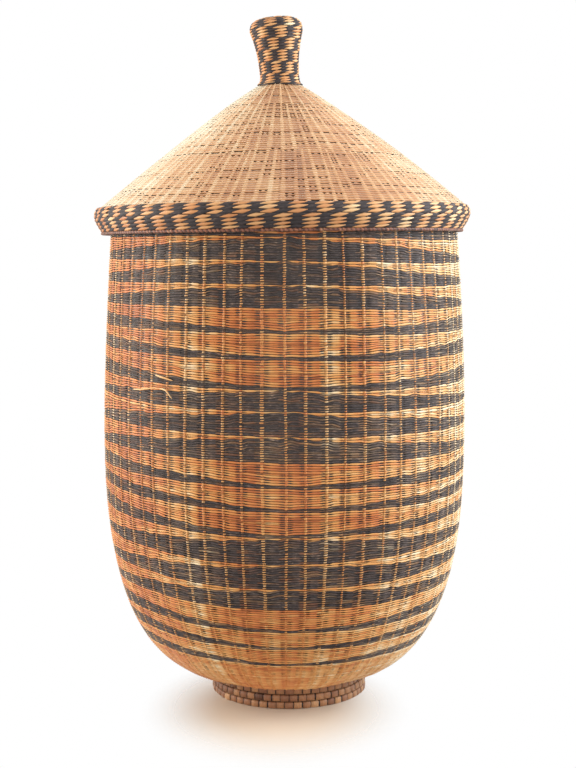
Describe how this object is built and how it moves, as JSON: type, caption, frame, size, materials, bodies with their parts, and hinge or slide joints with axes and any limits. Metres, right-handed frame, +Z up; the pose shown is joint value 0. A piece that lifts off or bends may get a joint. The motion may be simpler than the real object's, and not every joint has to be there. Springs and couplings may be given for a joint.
{
  "type": "lidded basket",
  "caption": "Tall barrel-shaped twined storage basket on a sewn ring foot, with a conical lift-off lid, woven knob and two-colour eave band.",
  "frame": {"origin": "on the floor under the middle of the foot ring", "axes": "+Z up along the basket's turning axis, -Y towards the viewer of the picture, +X to the right"},
  "size_m": [0.392, 0.392, 0.7091],
  "materials": {
    "wall_straw": "satin twined straw with dyed bands",
    "lid_straw": "satin twined straw",
    "two_colour_straw": "satin twined straw, natural and dyed",
    "dyed_straw": "matt dyed straw",
    "border_straw": "matt wrapped straw",
    "split_stake": "matt split cane",
    "foot_splint": "matt brown splint"
  },
  "bodies": {
    "basket": {"foot_coil_lower": "foot_splint", "foot_coil_middle": "foot_splint", "foot_coil_upper": "foot_splint", "base_weave": "wall_straw", "wall_weave": "wall_straw", "wall_stakes": "split_stake", "rim_border": "dyed_straw"},
    "lid": {"lid_stakes": "split_stake", "lid_weave": "lid_straw", "lid_band": "two_colour_straw", "lid_border": "border_straw", "knob_weave": "two_colour_straw", "knob_cap": "two_colour_straw"}
  },
  "joints": [
    {"name": "lid_lift", "type": "slide", "parent": "basket", "child": "lid", "axis": [0, 0, 1], "range_m": [0, 0.18]}
  ]
}
